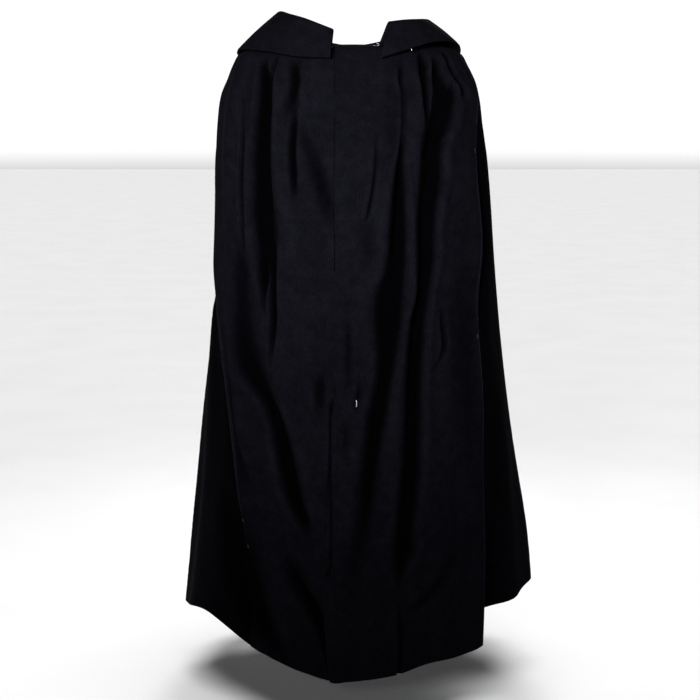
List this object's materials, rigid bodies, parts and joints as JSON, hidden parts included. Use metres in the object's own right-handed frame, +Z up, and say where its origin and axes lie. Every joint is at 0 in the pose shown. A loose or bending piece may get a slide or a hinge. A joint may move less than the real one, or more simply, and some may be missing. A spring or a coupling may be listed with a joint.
{
  "type": "wool cloak",
  "caption": "Full-length worn cloak of thick wool: broad roll collar, lapped front with a vent, arm slits in the side seams, flared gathered back.",
  "frame": {"origin": "middle of the neck opening, level with the shoulders, where the wearer holds the cloak up", "axes": "+Z up, -Y to the cloak's front, +X to the viewer's right when the front is seen"},
  "size_m": [0.7325, 0.5618, 1.2916],
  "materials": {
    "wool": "matt felted wool",
    "steel": "satin"
  },
  "bodies": {
    "root": {"front_left": "wool", "front_right": "wool", "back": "wool", "collar": "wool", "neck_hook": "steel", "collar_hook": "steel", "front_bar": "steel"}
  },
  "joints": []
}
